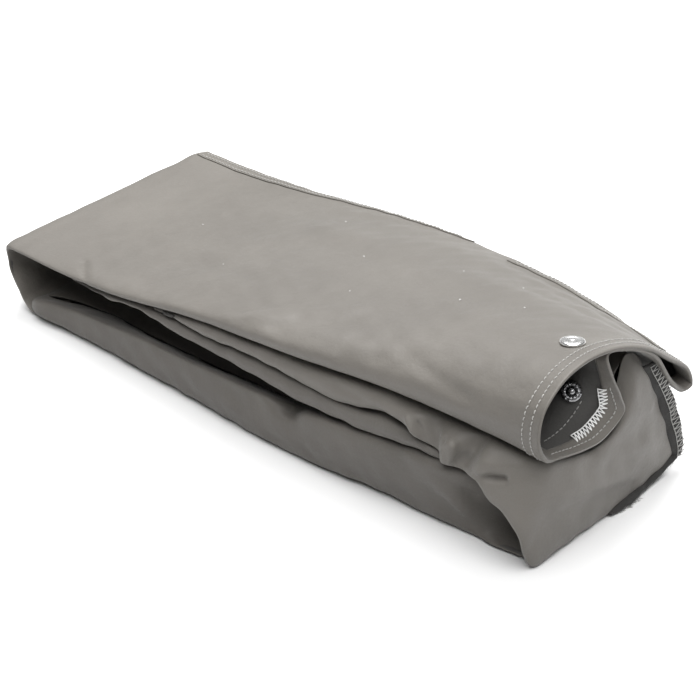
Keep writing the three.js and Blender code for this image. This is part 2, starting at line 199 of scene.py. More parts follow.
def mesh_object(name, vertices, faces, materials, cloth_map=None, normals=None, inner=()):
    vertices = np.array(vertices, float)
    vertices[:, 2] = np.maximum(vertices[:, 2], 0.1)  # nothing sinks into the floor
    mesh = bpy.data.meshes.new(name)
    mesh.from_pydata(to_frame(vertices).tolist(), [], faces)
    mesh.polygons.foreach_set("use_smooth", [True] * len(mesh.polygons))
    if cloth_map is not None:
        attribute = mesh.attributes.new("cloth_mm", "FLOAT_VECTOR", "POINT")
        attribute.data.foreach_set("vector", np.asarray(cloth_map, np.float32).ravel())
    for material in materials if isinstance(materials, (list, tuple)) else [materials]:
        mesh.materials.append(material)
    if len(inner):
        index = np.zeros(len(mesh.polygons), np.int32)
        index[np.asarray(inner)] = 1
        mesh.polygons.foreach_set("material_index", index)
    if normals is not None:
        mesh.normals_split_custom_set_from_vertices(normals.tolist())
    mesh.update()
    piece = bpy.data.objects.new(name, mesh)
    bpy.context.scene.collection.objects.link(piece)
    return piece


def cloth_measure(grid):
    """Distances along and across the cloth, in mm, which the weave follows."""
    u = np.concatenate([[0], np.cumsum(np.linalg.norm(np.diff(grid, axis=0), axis=2).mean(axis=1))])
    v = np.concatenate([[0], np.cumsum(np.linalg.norm(np.diff(grid, axis=1), axis=2).mean(axis=0))])
    uu, vv = np.meshgrid(u, v, indexing="ij")
    return np.stack([uu, vv, np.zeros_like(uu)], axis=2)


def shell(name, grid, materials, thickness=CLOTH, closed=False, rows=None, normals=None):
    """A ply of cloth: the grid is its outer face, and the inner face lies one thickness below.
    Every cut edge is rounded. `rows` keeps only those rows of a grid that several pieces share."""
    normals = grid_normals(grid, closed) if normals is None else normals
    measure = cloth_measure(grid)
    depth = np.broadcast_to(np.asarray(thickness, float), grid.shape[:2])[..., None]
    below = grid - normals * depth
    inside = -grid_normals(below, closed)
    parts = [grid, below, normals, inside, measure, depth]
    if rows is not None:
        parts = [p[rows] for p in parts]
    if closed:
        parts = [p[:, :-1] for p in parts]
    grid, below, normals, inside, measure, depth = parts
    m, n = grid.shape[:2]
    outer = grid.reshape(-1, 3)
    under = below.reshape(-1, 3)
    vertices = [outer, under]
    shading = [normals.reshape(-1, 3), inside.reshape(-1, 3)]
    maps = [measure.reshape(-1, 3)] * 2
    base = m * n
    faces = []
    inner = []
    for i in range(m - 1):
        for j in range(n if closed else n - 1):
            a, b = i * n + j, i * n + (j + 1) % n
            faces.append((a, a + n, b + n, b))
            if depth[i, j, 0] < HEM:
                inner.append(len(faces))
            faces.append((base + a, base + b, base + b + n, base + a + n))
    count = 2 * base
    flat_depth = depth.reshape(-1)

    def edge(indices, beside, flip, ring):
        nonlocal count
        out = unit(outer[indices] - outer[beside])
        middle = (outer[indices] + under[indices]) / 2
        vertices.append(middle + out * flat_depth[indices][:, None] * BULGE)
        shading.append(out)
        maps.append(maps[0][indices])
        k = len(indices)
        for s in range(k if ring else k - 1):
            t = (s + 1) % k
            p, q = indices[s], indices[t]
            for face in ((p, q, count + t, count + s), (count + s, count + t, base + q, base + p)):
                faces.append(face[::-1] if flip else face)
        count += k
        return np.arange(count - k, count)

    first, final = np.arange(n), np.arange(n) + (m - 1) * n
    left = edge(first, first + n, False, closed)
    right = edge(final, final - n, True, closed)
    if not closed:
        near, far = np.arange(m) * n, np.arange(m) * n + n - 1
        low = edge(near, near + 1, True, False)
        high = edge(far, far - 1, False, False)
        corners = (
            (near[0], left[0], low[0], True),
            (near[-1], right[0], low[-1], False),
            (far[0], left[-1], high[0], False),
            (far[-1], right[-1], high[-1], True),
        )
        for at, one, other, flip in corners:
            for face in ((at, one, other), (base + at, other, one)):
                faces.append(face[::-1] if flip else face)
    faces = [tuple(int(k) for k in f) for f in faces]
    if len(materials if isinstance(materials, (list, tuple)) else [materials]) < 2:
        inner = []
    return mesh_object(
        name, np.vstack(vertices), faces, materials, np.vstack(maps), np.vstack(shading), inner
    )


def tube_mesh(path, radius, sides=6):
    """Vertices and faces of a thread along a path, closed at both ends."""
    path = np.asarray(path, float)
    way = unit(np.gradient(path, axis=0))
    side = unit(np.cross(way, [0.31, 0.27, 0.91]))
    other = np.cross(way, side)
    angle = np.arange(sides) * 2 * math.pi / sides
    ring = np.cos(angle)[:, None, None] * side + np.sin(angle)[:, None, None] * other
    size = np.full(len(path), float(radius))
    size[0] = size[-1] = radius * 0.5
    rings = path + ring * size[:, None]
    vertices = rings.transpose(1, 0, 2).reshape(-1, 3)
    faces = []
    for i in range(len(path) - 1):
        for j in range(sides):
            k = (j + 1) % sides
            a, b = i * sides + j, i * sides + k
            faces.append((a, b, b + sides, a + sides))
    faces.append(tuple(reversed(range(sides))))
    faces.append(tuple(range((len(path) - 1) * sides, len(path) * sides)))
    return vertices, faces


def threads(name, paths, radius, material, sides=6):
    """Many short threads as one piece."""
    vertices, faces, count = [], [], 0
    for path in paths:
        v, f = tube_mesh(path, radius, sides)
        vertices.append(v)
        faces += [tuple(k + count for k in face) for face in f]
        count += len(v)
    return mesh_object(name, np.vstack(vertices), faces, material)


def turned(name, profile, centre, axis, material, n=48, teeth=None):
    """A round metal part: a profile of (radius, height) turned about its axis in n steps."""
    axis = np.array(axis, float) / np.linalg.norm(axis)
    side = np.cross([0, 1, 0.0], axis)
    side /= np.linalg.norm(side)
    other = np.cross(axis, side)
    vertices, faces = [], []
    for radius, height in profile:
        for k in range(n):
            a = 2 * math.pi * k / n
            out = np.cos(a) * side + np.sin(a) * other
            lift = teeth(a, radius) if teeth else 0.0
            vertices.append(np.array(centre) + out * radius + axis * (height + lift))
    last = len(profile) - 1
    closed = profile[0] == profile[-1]
    for i in range(last):
        for k in range(n):
            a, b = i * n + k, i * n + (k + 1) % n
            if closed and i == last - 1:
                faces.append((a, b, (k + 1) % n, k))
            else:
                faces.append((a, b, b + n, a + n))
    if closed:
        vertices = vertices[: last * n]
    else:
        faces.append(tuple(reversed(range(n))))
        faces.append(tuple(range(last * n, (last + 1) * n)))
    return mesh_object(name, np.array(vertices), faces, material)


# ------------------------------------------------------------------ materials


class Nodes:
    """Builds one procedural material."""

    def __init__(self, name):
        self.material = bpy.data.materials.new(name)
        self.material.use_nodes = True
        self.tree = self.material.node_tree
        self.shader = self.tree.nodes["Principled BSDF"]

    def new(self, kind, **values):
        node = self.tree.nodes.new(kind)
        for key, value in values.items():
            if hasattr(node, key):
                setattr(node, key, value)
            else:
                node.inputs[key.replace("_", " ")].default_value = value
        return node

    def link(self, source, target):
        self.tree.links.new(source, target)

    def math(self, operation, a, b=None):
        node = self.new("ShaderNodeMath", operation=operation)
        for socket, value in zip(node.inputs, (a, b)):
            if value is None:
                continue
            if isinstance(value, (int, float)):
                socket.default_value = value
            else:
                self.link(value, socket)
        return node.outputs[0]

    def noise(self, vector, scale, detail=3.0, roughness=0.55):
        node = self.new("ShaderNodeTexNoise", Scale=scale, Detail=detail, Roughness=roughness)
        self.link(vector, node.inputs["Vector"])
        return node.outputs["Fac"]

    def ramp(self, value, low, high, out_low, out_high):
        node = self.new("ShaderNodeMapRange")
        node.inputs["From Min"].default_value = low
        node.inputs["From Max"].default_value = high
        node.inputs["To Min"].default_value = out_low
        node.inputs["To Max"].default_value = out_high
        self.link(value, node.inputs["Value"])
        return node.outputs["Result"]

    def mix(self, factor, low, high):
        """Colours between two others, each a fixed colour or a node's output."""
        node = self.new("ShaderNodeMix", data_type="RGBA")
        for socket, value in ((node.inputs["A"], low), (node.inputs["B"], high)):
            if isinstance(value, tuple):
                socket.default_value = value
            else:
                self.link(value, socket)
        self.link(factor, node.inputs["Factor"])
        return node.outputs["Result"]

    def bump(self, height, distance, strength=1.0, before=None):
        node = self.new("ShaderNodeBump", Strength=strength, Distance=distance)
        self.link(height, node.inputs["Height"])
        if before is not None:
            self.link(before, node.inputs["Normal"])
        return node.outputs["Normal"]


def shade(color, factor):
    return tuple(c * factor for c in color) + (1.0,)


def cloth_material(name, color, roughness=0.62, weave=0.62, coating=0.2, sheen=0.12):
    """Woven cloth: two crossing sets of yarns, under a thin coating where coating is above 0."""
    n = Nodes(name)
    cloth = n.new("ShaderNodeAttribute", attribute_name="cloth_mm").outputs["Vector"]
    place = n.new("ShaderNodeTexCoord").outputs["Object"]
    split = n.new("ShaderNodeSeparateXYZ")
    n.link(cloth, split.inputs[0])
    turn = 2 * math.pi / weave
    warp = n.math("SINE", n.math("MULTIPLY", split.outputs[0], turn))
    weft = n.math("SINE", n.math("MULTIPLY", split.outputs[1], turn))
    yarns = n.math("MULTIPLY", warp, weft)
    slub = n.noise(cloth, 0.9, 2.0)
    grain = n.noise(cloth, 2.6, 4.0)
    broad = n.noise(place, 14.0, 3.0)
    rumple = n.noise(place, 55.0, 4.0, 0.6)
    tone = n.math("ADD", n.math("MULTIPLY", broad, 0.5), n.math("MULTIPLY", grain, 0.5))
    mixed = n.mix(n.ramp(tone, 0.3, 0.7, 0.0, 1.0), shade(color, 0.84), shade(color, 1.16))
    woven = n.mix(n.ramp(yarns, -1.0, 1.0, 0.14, 0.0), mixed, shade(color, 0.7))
    n.link(woven, n.shader.inputs["Base Color"])
    n.link(n.ramp(slub, 0.3, 0.7, roughness - 0.07, roughness + 0.09), n.shader.inputs["Roughness"])
    first = n.bump(rumple, 0.0022, 0.55)
    second = n.bump(grain, 0.00025, 0.6, first)
    third = n.bump(yarns, 0.00005, 0.6, second)
    n.link(third, n.shader.inputs["Normal"])
    n.shader.inputs["Sheen Weight"].default_value = sheen
    n.shader.inputs["Sheen Roughness"].default_value = 0.45
    n.shader.inputs["Coat Weight"].default_value = coating
    n.shader.inputs["Coat Roughness"].default_value = 0.42
    n.shader.inputs["IOR"].default_value = 1.46
    return n.material


def thread_material(name, color):
    n = Nodes(name)
    place = n.new("ShaderNodeTexCoord").outputs["Object"]
    fibres = n.noise(place, 2600.0, 3.0)
    broad = n.noise(place, 90.0, 2.0)
    tone = n.math("MULTIPLY", fibres, n.math("ADD", broad, 0.5))
    mixed = n.mix(n.ramp(tone, 0.3, 0.7, 0.0, 1.0), shade(color, 0.78), shade(color, 1.08))
    n.link(mixed, n.shader.inputs["Base Color"])
    n.link(n.ramp(broad, 0.3, 0.7, 0.66, 0.86), n.shader.inputs["Roughness"])
    n.link(n.bump(fibres, 0.00012, 0.8), n.shader.inputs["Normal"])
    n.shader.inputs["Sheen Weight"].default_value = 0.4
    n.shader.inputs["Sheen Roughness"].default_value = 0.4
    return n.material


def metal_material(name, color):
    n = Nodes(name)
    place = n.new("ShaderNodeTexCoord").outputs["Object"]
    broad = n.noise(place, 260.0, 3.0)
    scratches = n.noise(place, 1900.0, 5.0, 0.7)
    mixed = n.mix(n.ramp(broad, 0.3, 0.7, 0.0, 1.0), shade(color, 0.86), shade(color, 1.05))
    n.link(mixed, n.shader.inputs["Base Color"])
    n.link(n.ramp(scratches, 0.3, 0.7, 0.2, 0.36), n.shader.inputs["Roughness"])
    n.link(n.bump(scratches, 0.00004, 0.5), n.shader.inputs["Normal"])
    n.shader.inputs["Metallic"].default_value = 1.0
    return n.material


OUTER = cloth_material("coated_cloth", (0.114, 0.105, 0.0925))
# A darker copy of the coated cloth for the closed end underneath: painted shade for the shade it
# lies in below the mouth end; it is the same cloth.
CLOTH_PAINTED_SHADE = cloth_material("coated_cloth_painted_shade", (0.082, 0.075, 0.066), roughness=0.68, coating=0.14)
# A darker copy of the coated cloth for the lower pleat at the front: painted shade for the shade
# the pleat lies in; it is the same cloth.
PLEAT = cloth_material("coated_cloth_shade", (0.088, 0.081, 0.072), roughness=0.7, coating=0.12)
LINING = cloth_material("lining", (0.06, 0.058, 0.055), roughness=0.8, weave=0.8, coating=0.0)
SERGED = cloth_material("serged_edge", (0.022, 0.021, 0.02), roughness=0.85, weave=0.5, coating=0.0)
PALE_THREAD = thread_material("pale_thread", (0.33, 0.325, 0.31))
DARK_THREAD = thread_material("dark_thread", (0.06, 0.059, 0.057))
WHITE_THREAD = thread_material("white_thread", (0.84, 0.84, 0.83))
STUD_METAL = metal_material("stud_metal", (0.88, 0.88, 0.87))
# A darker copy of the stud metal for the prong ring and the stud's post inside the mouth: painted
# shade for the shade there; it is the same metal.
METAL_PAINTED_SHADE = metal_material("stud_metal_painted_shade", (0.34, 0.34, 0.35))

# ------------------------------------------------------------------ the bag, one flattened tube

# The walls of the mouth end: the top from its front edge to its back edge, then the floor under it.
TOP = [
    [40, (-91.5, 46.6), (-94, 47.4), (-93.6, 48.7), (-88, 49.8), (-70, 50.2), (-45, 50),
     (-10, 50), (30, 50), (65, 49.8), (86, 49.2), (93, 47.6), (93.5, 45.6)],
    [100, (-91, 50.8), (-94, 52.4), (-93.2, 54.4), (-87, 56.2), (-70, 57), (-45, 57.2),
     (-10, 57), (30, 56.8), (66, 56.4), (86, 55.4), (93, 53), (93.6, 50)],
    [190, (-90, 66.2), (-93.8, 68.8), (-93, 72.4), (-86, 75.6), (-70, 77.2), (-45, 78),
     (-10, 78.2), (28, 77.4), (62, 74.6), (84, 70), (92.6, 65), (93, 61.6)],
    [273, (-88, 74.6), (-93.6, 79.5), (-92, 85), (-83, 89.6), (-68, 92), (-45, 93.4),
     (-12, 94), (22, 93), (52, 88.4), (76, 80.4), (88.6, 73.4), (89, 68.6)],
    [340, (-83, 79.8), (-88.4, 86), (-87, 94), (-79, 100), (-66, 104), (-47, 106.4),
     (-20, 107), (10, 105), (38, 99), (62, 89), (80, 78.4), (82.6, 71.6)],
    [400, (-79.6, 81), (-86, 90), (-84.4, 103), (-76, 112), (-64, 117.6), (-47, 120.6),
     (-26, 120.4), (0, 115.6), (26, 106.4), (48, 93.6), (70, 78), (74.4, 68)],
    [430, (-77, 79.6), (-84, 92), (-82.4, 108.6), (-73, 118.4), (-61, 124.6), (-46, 127),
     (-31, 126.6), (-8, 120.8), (20, 109.6), (42, 94.6), (64, 76), (70, 64)],
    [450, (-75, 77), (-83.5, 94), (-81, 113), (-70, 124), (-58, 129.4), (-45, 131),
     (-33, 130.2), (-10, 124.2), (19, 109.5), (41, 92.5), (63, 73.6), (68, 60)],
]
FLOOR_Y = (-74, -56, -40, -22, -4, 14, 32, 46, 58, 68, 78, 88)
FLOOR = [
    [40, *zip(FLOOR_Y, (46, 44.4, *[43.4] * 10))],
    [100, *zip(FLOOR_Y, (49, 46.6, 45, 45, 45, 45, 45, 45, 45.2, 45.6, 46, 47))],
    [190, (-72, 63.6), (-56, 63), (-40, 62.6), (-22, 62.4), (-4, 62.4), (14, 62.4),
     (32, 62), (46, 61.6), (58, 61), (68, 60.4), (78, 60), (86, 59.8)],
    [273, (-70, 71.6), (-56, 69.6), (-42, 69), (-26, 69), (-8, 70.6), (8, 73),
     (24, 76), (38, 76.6), (50, 75.8), (62, 74), (73, 70.4), (82, 67)],
    [340, (-66, 75.6), (-54, 73.6), (-42, 73), (-28, 74), (-14, 77), (-2, 82.6),
     (6, 87.6), (16, 90), (30, 90), (44, 86), (60, 78.6), (74, 70)],
    [400, (-64, 77), (-52, 76.4), (-41, 78.4), (-30, 82.4), (-20, 88.6), (-11, 97),
     (-5, 104.6), (4, 105), (16, 102), (30, 96), (48, 80), (64, 66.4)],
    [430, (-62, 74.6), (-50, 75.6), (-40, 80), (-30, 87.4), (-23, 95), (-18, 106),
     (-19.5, 117), (-5, 113.4), (13, 106), (27, 96), (45, 74), (60, 61.4)],
    [450, (-61, 72), (-42, 67), (-24, 66), (-4, 77), (-8, 91), (-15.5, 107),
     (-21, 123), (-5, 118), (13, 108), (26, 97), (44, 71), (58.6, 58.5)],
]
# Round the fold: a point on the inner wall, the way out of the fold there, and the tube's depth.
FOLD = [
    ((34, 6.9), (0, -1), 4.4),
    ((23, 7.1), (-0.03, -1), 4.8),
    ((15, 8.4), (-0.5, -0.87), 5.6),
    ((10.4, 12), (-0.85, -0.53), 5.4),
    ((7.8, 17.4), (-0.97, -0.25), 5),
    ((6.3, 24), (-1, -0.03), 4.8),
    ((5.7, 30), (-1, 0), 4.8),
    ((5.7, 36), (-1, 0.06), 5.2),
    ((6.4, 41.2), (-0.72, 0.69), 9),
    ((13, 42.6), (-0.14, 0.99), 6.6),
    ((22, 43.2), (-0.02, 1), 6.4),
]
LOW_RAILS = 5  # of the rails round the fold, those of its lower half
FOLD_ROW = 15  # the tube's row where the lower half of the fold gives way to the upper half
SLEEVE_ROW = FOLD_ROW + 29  # its row where the fold gives way to the mouth end
SIDE_Y = [y for y, _ in TOP[0][1:]]
FLAT_FLOOR, FLAT_HEIGHT = 43.4, 6.6  # z of the mouth end's floor next to the fold, and its height
SIDE_SHARE = [(z - FLAT_FLOOR) / FLAT_HEIGHT for _, z in TOP[0][1:]]
FLOOR_SHARE = [(z - FLAT_FLOOR) / FLAT_HEIGHT for _, z in FLOOR[0][1:]]


def fold_rail(inner, out, depth):
    sides = [*zip(SIDE_Y, SIDE_SHARE), *reversed([*zip(FLOOR_Y, FLOOR_SHARE)])]
    return [(inner[0] + out[0] * s * depth, y, inner[1] + out[1] * s * depth) for y, s in sides]


def bag_tube():
    """The whole flattened tube from the foot of the fold to the rim. Returns the grid and the place
    of each of its rows, which is x over the mouth end and less than SLEEVE_START round the fold."""
    rails = [fold_rail(*row) for row in FOLD]
    for (x, *top), (_, *floor) in zip(TOP, FLOOR):
        rails.append([(x, y, z) for y, z in top] + [(x, y, z) for y, z in reversed(floor)])
    rows = np.array([resample(rail, 8, closed=True) for rail in rails])
    knots = gap_knots(rows)
    knots = knots - knots[len(FOLD)] + SLEEVE_START
    knots[len(FOLD):] = [row[0] for row in TOP]
    at = [
        np.linspace(knots[0], knots[LOW_RAILS], FOLD_ROW + 1)[:-1],
        np.linspace(knots[LOW_RAILS], SLEEVE_START, SLEEVE_ROW - FOLD_ROW + 1)[:-1],
        np.linspace(SLEEVE_START, RIM - HEM_WIDTH - 0.4, 120),
        np.linspace(RIM - HEM_WIDTH, RIM - LIP_WIDTH - 0.4, 4),
        np.linspace(RIM - LIP_WIDTH, RIM, 6),
    ]
    at = np.concatenate(at)
    return hermite(knots, rows, at), at


TUBE, TUBE_AT = bag_tube()
COLUMNS = TUBE.shape[1] - 1  # the last column is the first again


def rumple_tube(grid):
    """The wrinkles and creases of the mouth end, and how the fold's front edge is pulled in."""
    x, y, z = grid[..., 0], grid[..., 1], grid[..., 2]
    pull = smooth((-y - 35) / 55) * smooth((31 - z) / 17) * smooth((30 - x) / 20)
    grid = grid.copy()
    grid[..., 0] += PULL * pull
    normals = grid_normals(grid, closed=True)
    x, y, z = grid[..., 0], grid[..., 1], grid[..., 2]
    inside = smooth((x - 20) / 40) * smooth((446 - x) / 40)
    upper = smooth((normals[..., 2] + 0.3) / 0.8)
    soft = 0.55 * waves(grid * (0.55, 1.0, 1.0), 46, 3) + 0.28 * waves(grid, 17, 5)
    move = soft * inside * (0.25 + 0.75 * upper)
    for start, end, width, height in (
        ((58, -74, 52), (84, -95, 51), 2.0, -1.7),
        ((64, -72, 52), (90, -93, 52), 2.6, 1.1),
        ((222, -86, 80), (292, -42, 97), 7.0, 1.5),
        ((238, -90, 80), (300, -58, 97), 5.0, -1.3),
        ((205, -92, 76), (248, -80, 86), 4.5, 1.1),
        ((300, -88, 92), (370, -60, 112), 6.5, 1.0),
        ((352, -78, 106), (412, -84, 100), 5.0, -1.2),
        ((366, -84, 92), (440, -83, 100), 5.5, 1.3),
        ((340, 30, 100), (438, 30, 104), 6.0, -1.0),
        ((150, 60, 68), (236, 78, 74), 5.0, -0.9),
        ((120, -40, 62), (180, 40, 75), 14.0, 0.7),
        ((300, 62, 86), (420, 62, 82), 4.0, -1.6),
        ((318, 52, 92), (442, 50, 88), 4.0, 1.2),
    ):
        move += crease(grid, start, end, width, height)
    move += 0.35 * waves(grid, 21, 8) * smooth((24 - x) / 20)
    return grid + normals * move[..., None]


TUBE = rumple_tube(TUBE)
TUBE[:, -1] = TUBE[:, 0]
TUBE_NORMALS = grid_normals(TUBE, closed=True)
LIP_COLUMNS = (100, 186)  # the lower lip lies between these columns of the tube
ON_LIP = (np.arange(COLUMNS + 1) > LIP_COLUMNS[0]) & (np.arange(COLUMNS + 1) < LIP_COLUMNS[1])
HEM_FROM = RIM - np.where(ON_LIP, LIP_WIDTH, HEM_WIDTH) - 0.01
TUBE_DEPTH = np.where(TUBE_AT[:, None] > HEM_FROM, HEM, CLOTH)


def tube_piece(name, first, last):
    rows = slice(first, last + 1)
    return shell(name, TUBE, [OUTER, LINING], TUBE_DEPTH, True, rows, TUBE_NORMALS)


fold_base = tube_piece("fold_base_cloth", 0, FOLD_ROW)
fold_top = tube_piece("fold_top_cloth", FOLD_ROW, SLEEVE_ROW)
sleeve = tube_piece("sleeve_cloth", SLEEVE_ROW, len(TUBE_AT) - 1)

# ------------------------------------------------------------------ the closed end, underneath

BASE = ((45, 0.8), (0, 0.8), (-45, 0.8))
CLOSED_END = [
    [19.5, (-80, 9.4), (-40, 10), (0, 11), (40, 11.4), (80, 11.4), (86, 11.4), (88.6, 10), (89, 8),
     (88.6, 5.4), (85.6, 3), (76, 1.4), *BASE, (-76, 1.4), (-85.6, 2.6), (-89, 5), (-89.4, 8),
     (-87, 9.8), (-76, 9.6)],
    [24, (-78, 11), (-40, 11), (0, 13), (40, 14.6), (82, 15.4), (89, 16.6), (92.6, 14), (93.6, 11),
     (92.6, 6.6), (89, 2.4), (80, 0.9), *BASE, (-80, 0.9), (-89.4, 2.2), (-93.6, 6), (-93.8, 10.4),
     (-91.4, 12.8), (-80, 12)],
    [60, (-62, 6.6), (-26, 14), (0, 25), (40, 29), (82, 28), (87.6, 27), (92.4, 23.6), (94, 17),
     (93.4, 9.6), (90.4, 2.4), (80, 0.9), *BASE, (-80, 0.9), (-90, 2.2), (-94, 8), (-94, 17),
     (-92, 20.6), (-65, 7.4)],
    [110, (-62, 8), (-24, 22), (0, 36), (40, 37), (80, 36), (86.6, 35), (92.4, 30.6), (94, 22),
     (93.6, 12), (90.6, 2.4), (80, 0.9), *BASE, (-80, 0.9), (-90, 2.2), (-94, 9), (-94, 22),
     (-92, 26.8), (-65, 9)],
    [190, (-62, 12), (-26, 40), (0, 57), (40, 57), (74, 54), (81.4, 52), (89.6, 44.8), (93.4, 32.6),
     (94, 17), (91, 2.4), (80, 0.9), *BASE, (-80, 0.9), (-90, 2.2), (-94, 12), (-94, 27), (-92, 32),
     (-65, 13)],
    [273, (-64, 24), (-32, 56), (0, 65.4), (36, 71.4), (60, 70), (67.6, 67.6), (78.6, 57.4),
     (85.6, 40.6), (89.6, 20.6), (88.6, 2.6), (78, 0.9), *BASE, (-78, 0.9), (-90, 2.2), (-94, 13),
     (-94, 31.6), (-91.4, 38), (-67, 25)],
    [350, (-66, 49), (-38, 64), (0, 72), (20, 83.6), (42, 83), (51, 79), (63.6, 66), (73, 45),
     (79.6, 22.4), (80.6, 2.8), (70, 1), (38, 0.8), (0, 0.8), (-38, 0.8), (-70, 1), (-81.6, 2.4),
     (-86.4, 16), (-90, 36), (-88, 46.4), (-68, 47)],
    [400, (-60, 50), (-32, 64), (-8, 86), (4, 101.4), (18, 98.4), (32, 90.6), (47, 77), (58, 56),
     (65.4, 28), (69, 2.8), (60, 1), (34, 0.9), (0, 0.8), (-34, 0.9), (-62, 1), (-77, 2.4),
     (-75, 14), (-77, 33), (-78, 46), (-62, 48)],
    [420, (-38, 44), (-28, 60), (-7, 80), (3, 99), (15, 102.6), (27, 94.6), (40, 77.6), (50, 55.6),
     (58.6, 29), (63, 3.2), (55, 1), (31, 0.9), (0, 0.8), (-31, 0.9), (-56, 1), (-77, 2.4),
     (-56, 11), (-47, 26), (-48, 39), (-40, 42)],
    [438, (-30, 31), (-27, 56), (-6, 76), (3, 97), (12, 103.4), (22, 96.6), (31, 76), (39, 53),
     (47, 28), (54, 4), (48, 1.2), (28, 0.9), (0, 0.8), (-28, 0.8), (-54, 1), (-74, 2.4), (-48, 8),
     (-38, 18), (-37, 27), (-32, 29)],
]
LOWER_PLEAT = [
    [60, (-56, 41.4), (-78, 40.8), (-84, 40.6), (-86, 41.2), (-84, 42), (-78, 42.2), (-56, 42.6)],
    [96, (-56, 43), (-82, 43.6), (-89, 43.8), (-91, 45.4), (-89, 46.8), (-82, 47), (-56, 45.2)],
    [128, (-56, 47.4), (-82, 48.8), (-89.6, 49.4), (-91.8, 50.8), (-89.6, 52), (-82, 52.2),
     (-56, 50.4)],
    [160, (-56, 48.2), (-84, 48.2), (-91.4, 48.8), (-93.4, 51), (-91.4, 53.4), (-84, 54),
     (-56, 54.4)],
    [194, (-56, 48.6), (-86, 47.8), (-92.2, 48.4), (-94, 51.8), (-91.6, 55), (-85, 56),
     (-56, 56.4)],
    [250, (-58, 48.4), (-86, 47.2), (-92.2, 47.6), (-94, 53), (-91.2, 57.6), (-84, 58.8),
     (-58, 58.4)],
    [276, (-60, 47), (-85, 45.4), (-91.4, 45.8), (-93.6, 51.8), (-90.8, 57), (-84, 58),
     (-60, 57.6)],
    [318, (-62, 48.2), (-84, 46), (-90, 47), (-92, 53), (-89.6, 58), (-83, 59), (-62, 58.6)],
    [352, (-62, 50.2), (-82, 49), (-88.4, 50.2), (-90.4, 56), (-88, 61), (-81, 62.4), (-62, 62)],
    [386, (-58, 49.4), (-77, 48.6), (-83.4, 49.2), (-85, 51.2), (-83.4, 53), (-77, 53.6),
     (-58, 53.4)],
    [420, (-56, 44), (-68, 43.6), (-73, 44.2), (-74.4, 45.6), (-73.4, 47), (-69, 47.6),
     (-56, 47.6)],
]
# One sheet forms the upper pleat and sweeps round into the end panel: each rail runs from the
# tucked-in lower return, over the edge and up the face to the tuck at the top.
GUSSET = [
    *sections([
        [146, (-72, 56.2), (-90, 56), (-91.6, 56.8), (-90, 57.8), (-84, 58), (-70, 58)],
        [191, (-72, 58), (-91.4, 57.4), (-94, 60.4), (-92, 64), (-85, 64.8), (-70, 64.4)],
        [250, (-72, 60.6), (-91, 60), (-94, 64), (-91.4, 69.4), (-85, 70.6), (-68, 69.4)],
        [289, (-70, 61), (-89.6, 58.6), (-92.6, 64), (-90, 71), (-83, 73), (-66, 71.4)],
        [318, (-68, 62.4), (-87.6, 60.4), (-91, 66), (-88.6, 73), (-81.4, 75.2), (-64, 73)],
        [340, (-68, 66), (-86.4, 64.8), (-90.6, 69.4), (-87.8, 75), (-80, 77), (-62, 74)],
        [355, (-68, 65.6), (-86.8, 64.6), (-91, 69.4), (-88, 75), (-80, 77), (-62, 74)],
    ]),
    [(366, -69, 62.6), (367, -88, 61), (366, -91, 67.4), (366, -88, 74), (366, -80, 77),
     (366, -60, 74)],
    [(376, -70, 58), (378, -84, 56), (378, -83.6, 64), (376, -82, 72), (375, -76, 76),
     (375, -60, 74)],
    [(389, -70, 56), (388, -90.6, 54.6), (389, -93.6, 61), (391, -91, 70), (392, -80, 76.4),
     (391, -58, 73)],
    [(402, -72, 54.6), (400, -85, 52.8), (402, -82.4, 60), (405, -81, 68), (406, -76, 75.4),
     (404, -58, 72)],
    [(415, -73, 50), (413, -90, 54), (413, -91.4, 61), (415, -88, 69.4), (415, -79, 76.4),
     (413, -58, 71.6)],
    [(425, -74, 43), (424, -88, 46), (424, -88.6, 57), (424, -85.4, 67.4), (424, -77.6, 76),
     (423, -58, 71)],
    [(434, -76, 33), (434, -87.4, 38.4), (437, -86.6, 50), (437, -82.6, 63), (436, -74, 74),
     (434, -56, 69)],
    [(434, -74, 22), (443, -86, 27), (446.6, -80, 42), (447.4, -73, 57), (446, -64, 70),
     (440, -50, 66.6)],
    [(434, -70, 11), (444.6, -82, 13.6), (449, -68, 32), (450, -57, 50), (448.6, -46, 64.6),
     (441, -36, 62)],
    [(434, -64, 3.4), (446, -75, 1.6), (450, -52, 24), (451, -38, 44), (449.4, -26, 61),
     (441, -20, 60)],
    [(434, -50, 2.6), (446.4, -52, 0.8), (450.4, -30, 24), (451, -17, 44), (449.6, -8, 64),
     (441, -4, 66)],
    [(434, -25, 2.6), (446.4, -25, 0.8), (450.4, -8, 26), (450.6, 2, 48), (449.4, 4, 76),
     (441, 2, 88)],
    [(434, 2, 3), (446.4, 3, 1.2), (450, 12, 30), (450, 16, 56), (448.6, 12, 88), (440, 8, 102.8)],
    [(434, 28, 5), (446.4, 29, 3), (449, 28, 32), (449, 27, 60), (447, 20, 90), (440, 14, 103)],
    [(434, 48, 8), (446, 50, 6.6), (447.6, 43, 32), (447, 36, 58), (446, 26, 84), (440, 20, 99.4)],
    [(440, 57, 11), (446, 58.6, 10), (446.4, 51, 32), (446, 42, 54), (445.6, 30, 80),
     (441, 24, 94)],
]


def rumpled(grid, seed, large=0.6, small=0.3, creases=()):
    normals = grid_normals(grid)
    move = large * waves(grid * (0.6, 1, 1), 44, seed) + small * waves(grid, 16, seed + 1)
    for start, end, width, height in creases:
        move += crease(grid, start, end, width, height)
    return grid + normals * move[..., None]


